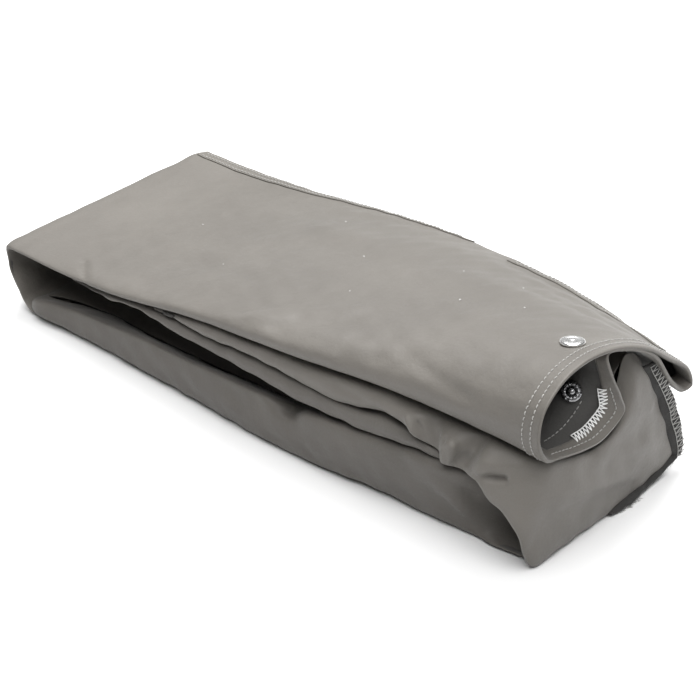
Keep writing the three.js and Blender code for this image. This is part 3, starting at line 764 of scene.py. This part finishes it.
def closed_end_grid():
    grid = loft(sections(CLOSED_END), 4.0, 6)
    grid = rumpled(grid, 11, 0.7, 0.35, (
        ((60, -94, 16), (200, -94, 18), 6, -0.7),
        ((150, -94, 24), (250, -94, 12), 7, 0.7),
        ((268, -93, 30), (280, -93, 8), 7, -1.0),
        ((286, -93, 34), (310, -91, 20), 7, 1.0),
        ((340, -88, 40), (396, -80, 18), 6, -1.6),
        ((376, -84, 42), (404, -77, 10), 3.4, 2.8),
        ((392, -80, 40), (414, -72, 12), 3.6, -3.4),
        ((404, -72, 38), (422, -68, 8), 3.4, 3.2),
        ((120, 94, 26), (300, 86, 30), 7, -1.6),
        ((300, 84, 40), (420, 60, 30), 6, 1.4),
    ))
    grid = dent(grid, (264, -92, 39), (11, 12, 8), (0, 6.5, -8.5))
    low = grid[..., 2] < 6
    grid[..., 2] = np.where(low, np.maximum(grid[..., 2], 0.35), grid[..., 2])
    return grid


def pleat_grid():
    grid = loft(sections(LOWER_PLEAT), 4.0, 6)
    return rumpled(grid, 21, 0.5, 0.4, (
        ((180, -93, 51), (262, -92, 54), 2.6, -0.7),
        ((290, -92, 52), (330, -91, 55), 2.6, -0.8),
        ((344, -90, 54), (384, -85, 51), 2.6, -0.8),
    ))


def gusset_grid():
    grid = loft(GUSSET, 1.8, 16)
    return rumpled(grid, 31, 0.45, 0.3, (
        ((449, -74, 52), (450, 20, 18), 8, 1.6),
        ((449, -60, 36), (450, 30, 8), 6, -1.5),
        ((449, -30, 58), (450, 44, 26), 7, 1.3),
        ((449, -40, 64), (449, 30, 44), 6, -1.2),
        ((449, -4, 72), (449, 34, 60), 5, 1.0),
        ((296, -92, 72), (352, -91, 66), 3.5, -1.0),
        ((356, -91, 78), (370, -92, 60), 2.0, 1.8),
        ((366, -90, 77), (378, -91, 56), 2.2, -4.6),
        ((372, -90, 78), (384, -91, 58), 1.8, 1.8),
        ((388, -90, 77), (386, -91, 55), 2.0, -2.2),
        ((395, -90, 77), (394, -91, 54), 2.4, 3.0),
        ((404, -89, 76), (399, -91, 58), 2.0, -4.2),
        ((407, -89, 72), (404, -90, 55), 1.7, 1.8),
        ((410, -90, 57), (434, -86, 62), 2.6, -4.8),
        ((410, -88, 56), (436, -84, 60), 1.8, 1.6),
        ((412, -90, 66), (444, -78, 72), 4.0, 1.5),
        ((414, -88, 50), (446, -82, 34), 5.0, 1.4),
        ((424, -88, 44), (446, -76, 14), 3.4, -1.4),
    ))


CLOSED_END_GRID, PLEAT_GRID, GUSSET_GRID = closed_end_grid(), pleat_grid(), gusset_grid()
# The closed end is drawn in the darker copy of the cloth, which is painted shade.
closed_end = shell("closed_end_cloth", CLOSED_END_GRID, [CLOTH_PAINTED_SHADE, LINING])
# The lower pleat is drawn in the darker copy of the cloth, which is painted shade.
pleat = shell("lower_pleat_cloth", PLEAT_GRID, [PLEAT, LINING])
gusset = shell("gusset_cloth", GUSSET_GRID, [OUTER, LINING])

# ------------------------------------------------------------------ seams, hems and stitches

tube_faces = []
for i in range(FOLD_ROW + 12, len(TUBE_AT) - 1):
    for j in range(COLUMNS):
        a = i * (COLUMNS + 1) + j
        tube_faces.append((a, a + COLUMNS + 1, a + COLUMNS + 2, a + 1))
SURFACE = BVHTree.FromPolygons([Vector(p) for p in TUBE.reshape(-1, 3)], tube_faces)


def on_top(x, y, lift=0.0):
    """The point on the bag's outside above (x, y), and the way out of the cloth there."""
    place, normal, _, _ = SURFACE.ray_cast(Vector((x, y, 200.0)), Vector((0, 0, -1)))
    if place is None:
        place, normal, _, _ = SURFACE.find_nearest(Vector((x, y, 90.0)))
    if normal.z < 0:
        normal = -normal
    return np.array(place + normal * lift), np.array(normal)


def stitches(points, normals, pitch, length, rise=0.32, sink=0.35, wander=0.12, seed=1):
    """Separate straight stitches along a line: each rises out of the cloth and dips back in."""
    rng = np.random.default_rng(seed)
    points, normals = np.asarray(points, float), np.asarray(normals, float)
    s = lengths(points)

    paths = []
    start = 0.3 * pitch
    while start + length < s[-1]:
        t = np.linspace(start, start + length, 7)
        arch = np.sin(np.linspace(0, math.pi, 7)) ** 0.6
        place, out = follow(t, s, points), unit(follow(t, s, normals))
        path = place + out * (arch * (rise + sink) - sink)[:, None]
        side = unit(np.cross(out, follow(t + 0.5, s, points) - place))
        path += side * (rng.normal() * wander * np.linspace(-1, 1, 7))[:, None]
        paths.append(path)
        start += pitch * rng.uniform(0.94, 1.06)
    return paths


def ring_line(x, first, last, inside=False, lift=0.0):
    """Points and ways out along the tube at one x, on its outer or inner face."""
    i = int(np.argmin(np.abs(TUBE_AT - x)))
    columns = np.arange(first, last + 1) % COLUMNS
    points, normals = TUBE[i, columns], TUBE_NORMALS[i, columns]
    if inside:
        points = points - normals * TUBE_DEPTH[i, columns][:, None]
        normals = -normals
    return points + normals * lift, normals


def long_line(points):
    rows = [on_top(x, y) for x, y in points]
    return np.array([p for p, _ in rows]), np.array([n for _, n in rows])


def spread(start, end, count, bend=0.0):
    """(x, y) places from start to end, bowed sideways by `bend` mm in the middle."""
    t = np.linspace(0, 1, count)
    line = np.array(start) * (1 - t)[:, None] + np.array(end) * t[:, None]
    line[:, 1] += bend * np.sin(math.pi * t)
    return line


FRONT_START = -44  # the column, before the first, where the rim's stitching starts on the lip
rim_points, rim_normals = ring_line(RIM - 4.2, FRONT_START, 84)
hem_points, hem_normals = ring_line(RIM - HEM_WIDTH + 1.6, FRONT_START, 84)
rim_paths = stitches(rim_points, rim_normals, *STITCH, seed=2)
hem_paths = stitches(hem_points, hem_normals, *STITCH, seed=3)
rim_stitching = threads("rim_stitching_threads", rim_paths, THREAD, PALE_THREAD)
hem_stitching = threads("hem_stitching_threads", hem_paths, THREAD, PALE_THREAD)

# The lower lip inside the mouth: a row of stitches near the rim and another further in.
lip_outer = ring_line(RIM - 3.2, 148, 187, inside=True)
lip_inner = ring_line(436, 158, 182, inside=True)
lip_paths = stitches(*lip_outer, *STITCH, seed=4) + stitches(*lip_inner, *STITCH, seed=5)
lip_stitching = threads("lower_lip_threads", lip_paths, THREAD, PALE_THREAD)


def zigzag_paths(points, normals, width, pitch, seed, lift=0.3):
    """Overlocking: a thread that runs to and fro across an edge, and one along its inner side."""
    rng = np.random.default_rng(seed)
    s = lengths(points)
    count = int(s[-1] / (pitch / 2))
    t = np.linspace(0, s[-1], count + 1)
    place, out = follow(t, s, points), unit(follow(t, s, normals))
    side = np.cross(out, unit(np.gradient(place, axis=0)))
    swing = np.where(np.arange(count + 1) % 2 == 0, -0.5, 0.5) * width
    swing = swing * rng.uniform(0.88, 1.1, count + 1)
    turns = place + side * swing[:, None] + out * lift
    paths = []
    for k in range(count):
        a, b = turns[k], turns[k + 1]
        middle = (a + b) / 2 + out[k] * 0.3
        paths.append(resample([a - out[k] * 0.35, a, middle, b, b - out[k] * 0.35], 3))
    paths.append(place - side * (0.5 * width) + out * (lift + 0.1))
    return paths


edge_points, edge_normals = ring_line(RIM - LIP_WIDTH, 150, 174, inside=True)
lip_zigzag = zigzag_paths(edge_points, edge_normals, 4.8, 2.4, 6)
lip_overlock = threads("lower_lip_overlock_threads", lip_zigzag, 0.36, WHITE_THREAD)


def taped_seam(name, left, right, rows, steps=4):
    """A tape between two lines over the bag, and its rows of stitches. Lines are as in spread()."""
    grid = []
    for a, b in zip(spread(*left), spread(*right)):
        grid.append([on_top(*(a + (b - a) * k / steps), TAPE)[0] for k in range(steps + 1)])
    tape = shell(f"{name}_tape", np.array(grid), OUTER, TAPE)
    paths = []
    for line, seed in rows:
        points, normals = long_line(spread(*line))
        paths += stitches(points + normals * TAPE, normals, *STITCH, seed=seed)
    return tape, threads(f"{name}_threads", paths, FINE_THREAD, PALE_THREAD)


# The side seam's tape runs along the back edge, and narrows and fades towards the middle.
side_tape, side_stitching = taped_seam(
    "side_seam", ((5, 82), (262, 85.6), 90), ((5, 91.8), (262, 86.4), 90),
    [(((7, 82 + shift), (252, 85.4 + shift * 0.22), 110), seed)
     for shift, seed in ((1.3, 7), (6.2, 8))],
)
# The doubled hem at the back of the mouth end, where the rim's hem meets the back seam.
back_hem, back_stitching = taped_seam(
    "back_hem", ((300, 73.5), (437, 47), 40, 5), ((300, 80), (437, 55.5), 40, 5),
    [(((304, 73.5 + shift), (434, 47 + shift * 1.2), 60, 5), seed)
     for shift, seed in ((1.4, 9), (5.0, 10))],
)

# The end panel's back seam: its allowances stand out past the seam and are overlocked together.
END_SEAM = [
    [(444.6, 21.6, 91), (446.4, 25, 91.6), (447.4, 29, 92), (447.8, 31.6, 92.2)],
    [(446.4, 27.4, 79.6), (448, 31, 80.2), (449, 34.6, 80.8), (449.2, 37, 81)],
    [(446.6, 37, 62), (448.8, 40, 62.8), (449.8, 44, 63.8), (450, 47, 64.4)],
    [(447, 48.6, 36), (449, 51.6, 36.8), (449.8, 55.6, 37.8), (449.8, 58.6, 38.6)],
    [(446.8, 56.6, 14), (448.8, 59.6, 14.6), (449.6, 63, 15.4), (449.4, 65.6, 16)],
    [(446.4, 59, 8.6), (448, 61.6, 8.2), (449, 64, 7.8), (448.8, 66, 8)],
]


def end_allowance():
    grid = loft(END_SEAM, 2.0, 4)
    grid[..., 0] += 0.5 * waves(grid, 15, 41)
    return grid


end_grid = end_allowance()
end_strip = shell("end_seam_cloth", end_grid, SERGED, 2.2)
middle_row = end_grid[:, 8]
end_normal = grid_normals(end_grid)[:, 8]
end_zigzag = zigzag_paths(middle_row, end_normal, 6.4, 4.2, 12)
end_overlock = threads("end_seam_threads", end_zigzag, 0.24, PALE_THREAD)

# The lower allowance, slightly raised off the floor, with a raw edge that frays.
BASE_SEAM = [
    [(445, -8, 2.0), (447.4, -7, 2.2), (449.6, -6, 1.2)],
    [(446, 8, 2.8), (448.4, 9, 3.2), (451, 9.6, 1.6)],
    [(446, 28, 4.0), (447.6, 28.8, 3.8), (449.2, 29.4, 2.6)],
    [(446, 46, 6.6), (447.4, 47, 6.2), (448.8, 47.8, 5.2)],
    [(446, 57.4, 9.0), (447.4, 59, 8.8), (448.8, 60, 8)],
]
base_grid = loft(BASE_SEAM, 2.0, 5)
base_grid[..., 2] += 0.5 * waves(base_grid, 11, 43)
base_strip = shell("base_seam_cloth", base_grid, SERGED, 1.6)


def frays():
    """Loose yarn ends along the raw edge, each with its own length and droop."""
    rng = np.random.default_rng(17)
    paths = []
    for row in range(2, len(base_grid) - 2):
        for _ in range(3):
            at = base_grid[row, -1] + (base_grid[row + 1, -1] - base_grid[row, -1]) * rng.uniform()
            reach = rng.uniform(1.2, 4.2) * (1.3 if base_grid[row, 0, 1] < 22 else 0.5)
            way = np.array([rng.uniform(0.1, 0.7), rng.normal() * 0.5, -rng.uniform(0.2, 1.1)])
            curl = np.array([0, rng.normal() * 0.5, -0.3]) * reach
            end = at + way * reach
            end[0] = min(end[0], 457.0)
            end[2] = max(end[2], 0.3)
            middle = (at + end) / 2 + curl * 0.4
            middle[2] = max(middle[2], 0.3)
            paths.append(resample([at - (1.2, 0, 0), at, middle, end], 3))
    return paths


fray_threads = threads("base_seam_frays", frays(), 0.14, PALE_THREAD, sides=4)
base_middle = base_grid[:, 5]
base_zigzag = zigzag_paths(base_middle, grid_normals(base_grid)[:, 5], 3.6, 4.4, 13)
base_overlock = threads("base_seam_threads", base_zigzag, 0.22, DARK_THREAD)

LINT_AT = (
    (92, 12), (150, -38), (176, 46), (236, 6), (262, -28),
    (308, 22), (330, -14), (352, 30), (372, 2),
)


def lint():
    """A few specks of lint on the top."""
    rng = np.random.default_rng(5)
    paths = []
    for x, y in LINT_AT:
        point, normal = on_top(x + rng.normal() * 4, y + rng.normal() * 4, 0.15)
        a = rng.uniform(0, 6.28)
        way = np.array([math.cos(a), math.sin(a), 0.0])
        way -= normal * (way @ normal)
        reach = rng.uniform(0.3, 0.9)
        paths.append(resample([point - way * reach, point + normal * 0.3, point + way * reach], 3))
    return paths


lint_specks = threads("lint_specks", lint(), 0.22, WHITE_THREAD)

# ------------------------------------------------------------------ the press stud

cap_place, cap_normal = on_top(*CAP_AT)
cap = turned(
    "snap_cap_dome",
    [(0.02, 1.62), (2.2, 1.6), (4.0, 1.68), (5.2, 1.95), (6.0, 2.15), (6.7, 2.05), (7.25, 1.6),
     (7.5, 1.0), (7.3, 0.35), (6.8, 0.05), (6.0, 0.1), (5.0, 0.2), (0.02, 0.2), (0.02, 1.62)],
    cap_place - cap_normal * 0.05, cap_normal, STUD_METAL, 64,
)
socket = turned(
    "snap_socket_ring",
    [(2.5, 0), (2.5, -2.4), (3.0, -2.9), (4.6, -3.0), (5.6, -2.6), (6.1, -1.8), (6.1, 0.3),
     (2.5, 0.3), (2.5, 0)],
    cap_place - cap_normal * (CLOTH + 0.3), cap_normal, STUD_METAL, 48,
)


def inner_face(x, y, high):
    """The inside of the mouth's floor below (x, y, high), and the way up out of the cloth there."""
    place, normal, _, _ = SURFACE.ray_cast(Vector((x, y, high)), Vector((0, 0, -1)))
    if normal.z < 0:
        normal = -normal
    return np.array(place + normal * HEM), np.array(normal)


ring_place, ring_normal = inner_face(429.4, -26.5, 112)
ring_tilt = ring_normal * 0.6 + np.array([0.25, -0.3, 0.5])
ring_tilt /= np.linalg.norm(ring_tilt)
# The prong ring and the stud's post are drawn in the darker copy of the metal, which is painted
# shade.
prong_ring = turned(
    "prong_ring_toothed",
    [(2.9, 0), (2.9, 1.3), (3.5, 1.7), (4.6, 1.6), (5.6, 1.2), (6.1, 0.7), (6.1, 0.1),
     (5.6, 0), (2.9, 0)],
    ring_place + ring_tilt * 0.5, ring_tilt, METAL_PAINTED_SHADE, 72,
    teeth=lambda a, r: 0.35 * max(0.0, math.sin(12 * a)) if r > 3.2 else 0.0,
)
stud = turned(
    "snap_stud_post",
    [(0.02, 0), (2.5, 0), (2.5, 1.5), (1.9, 2.0), (1.9, 2.4), (2.2, 3.0), (2.0, 3.7),
     (1.2, 4.1), (0.02, 4.2)],
    ring_place + ring_tilt * 0.5, ring_tilt, METAL_PAINTED_SHADE, 32,
)

# ------------------------------------------------------------------ what moves with what

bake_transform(fold_base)
for piece in (sleeve, rim_stitching, hem_stitching):
    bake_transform(piece)
for piece in (fold_top, side_tape, side_stitching):
    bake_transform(piece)
for piece in (cap, socket):
    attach(piece, "mouth_lip")
for piece in (lip_stitching, lip_overlock, back_hem, back_stitching, lint_specks, prong_ring, stud):
    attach(piece, "mouth_end")
for piece in (
    closed_end, pleat, gusset, end_strip, end_overlock, base_strip, fray_threads, base_overlock,
):
    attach(piece, "closed_end")

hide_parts("fold_inner_ply")
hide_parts("fold_outer_ply")
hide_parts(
    "top_wall", "top_wall_back", "mouth_flap", "front_roll", "back_roll",
    "sleeve_floor", "sleeve_ridge", "sleeve_back_floor", "upper_lip_hem", "lower_lip_hem",
)
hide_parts("base_panel", "front_wall", "lower_back", "lower_top")
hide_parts("lower_pleat")
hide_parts("upper_pleat", "end_panel")
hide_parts("end_seam_allowance")
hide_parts("end_seam_overlock")
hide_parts("base_seam_allowance")
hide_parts("side_seam_allowance")
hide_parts("rim_stitching")
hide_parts("hem_stitching")
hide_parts("lower_lip_stitching")
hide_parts("lower_lip_overlock")
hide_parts("snap_cap")
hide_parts("snap_socket")
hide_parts("snap_prong_ring")
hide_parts("snap_stud")


# ------------------------------------------------------------------ floor, light and camera

floor_mesh = bpy.data.meshes.new("floor")
floor_mesh.from_pydata([(-6, -6, 0), (6, -6, 0), (6, 6, 0), (-6, 6, 0)], [], [(0, 1, 2, 3)])
floor = bpy.data.objects.new("floor", floor_mesh)
bpy.context.scene.collection.objects.link(floor)
floor_nodes = Nodes("floor")
floor_place = floor_nodes.new("ShaderNodeTexCoord").outputs["Object"]
floor_tone = floor_nodes.noise(floor_place, 40.0, 3.0)
floor_mix = floor_nodes.mix(floor_tone, (0.66, 0.66, 0.66, 1), (0.68, 0.68, 0.68, 1))
floor_nodes.link(floor_mix, floor_nodes.shader.inputs["Base Color"])
floor_nodes.shader.inputs["Roughness"].default_value = 0.9
floor_mesh.materials.append(floor_nodes.material)

world = bpy.data.worlds.new("studio")
world.use_nodes = True
world.node_tree.nodes["Background"].inputs["Color"].default_value = (1, 1, 1, 1)
world.node_tree.nodes["Background"].inputs["Strength"].default_value = 0.22
bpy.context.scene.world = world
bpy.context.scene.view_settings.view_transform = "Standard"


def area_light(name, place, aim, size, power):
    light = bpy.data.lights.new(name, "AREA")
    light.shape = "RECTANGLE"
    light.size, light.size_y = size
    light.energy = power
    lamp = bpy.data.objects.new(name, light)
    lamp.location = place
    lamp.rotation_euler = (Vector(aim) - Vector(place)).to_track_quat("-Z", "Y").to_euler()
    bpy.context.scene.collection.objects.link(lamp)
    return lamp


key = area_light("key", (-0.45, 0.75, 1.6), (0, 0, 0.05), (1.1, 0.9), 44)
# A broad, distant light, so that the floor stays pale out to the horizon.
overhead = bpy.data.objects.new("overhead", bpy.data.lights.new("overhead", "SUN"))
overhead.data.energy = 4.5
overhead.data.angle = math.radians(58)
overhead.rotation_euler = Vector((-0.3, 0.35, -1.85)).to_track_quat("-Z", "Y").to_euler()
bpy.context.scene.collection.objects.link(overhead)

AZIMUTH, ELEVATION, DISTANCE = math.radians(42.86), math.radians(33.06), 1.400
TARGET = Vector((0.03045, -0.0284, 0.045))
back = Vector((
    math.sin(AZIMUTH) * math.cos(ELEVATION),
    -math.cos(AZIMUTH) * math.cos(ELEVATION),
    math.sin(ELEVATION),
))
camera = bpy.data.objects.new("camera", bpy.data.cameras.new("camera"))
camera.data.lens = 114.4
camera.data.sensor_width = 36.0
camera.location = TARGET + back * DISTANCE
camera.rotation_euler = (-back).to_track_quat("-Z", "Y").to_euler()
bpy.context.scene.collection.objects.link(camera)
bpy.context.scene.camera = camera
